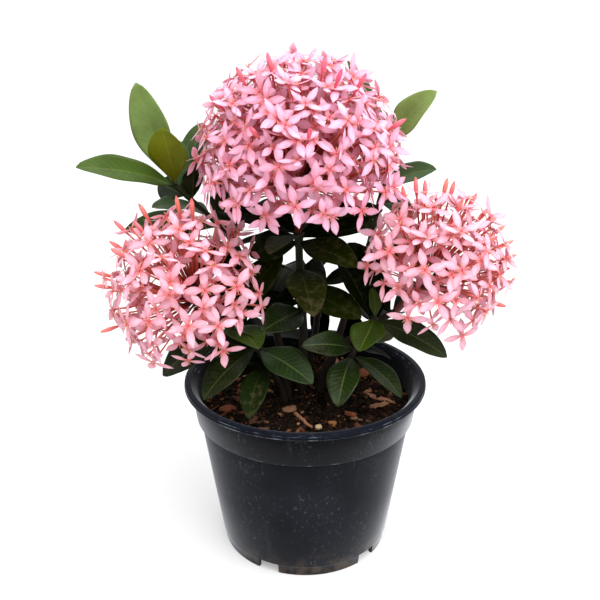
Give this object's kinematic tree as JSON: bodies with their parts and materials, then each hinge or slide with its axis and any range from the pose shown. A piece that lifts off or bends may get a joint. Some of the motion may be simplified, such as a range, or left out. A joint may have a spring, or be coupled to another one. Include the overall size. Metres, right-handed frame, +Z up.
{
  "type": "potted ixora plant",
  "caption": "Bushy potted ixora with domed pink flower heads, glossy leaves and a black nursery pot, standing on its foot ring.",
  "frame": {"origin": "on the ground, on the axis of the pot, at the centre of its foot ring", "axes": "+Z up along the pot's axis, -Y towards the front of the plant, +X to the right as seen from the front"},
  "size_m": [0.2481, 0.15, 0.3071],
  "materials": {
    "pot_plastic": "satin black, a little scuffed",
    "potting_soil": "rough dark potting mix with bark chips",
    "dark_leaf": "leathery dark green with a soft gloss",
    "young_leaf": "fresh green, glossy",
    "pink_petal": "matte light pink"
  },
  "bodies": {
    "root": {"pot": "pot_plastic", "soil": "potting_soil", "stem_centre": "dark_leaf", "stem_left": "dark_leaf", "stem_right": "dark_leaf", "shoot_back_left": "young_leaf", "shoot_back_right": "young_leaf", "shoot_front_left": "dark_leaf", "shoot_front_right": "dark_leaf", "shoot_back": "dark_leaf", "flower_head_top": "pink_petal", "flower_head_left": "pink_petal", "flower_head_right": "pink_petal"}
  },
  "joints": []
}
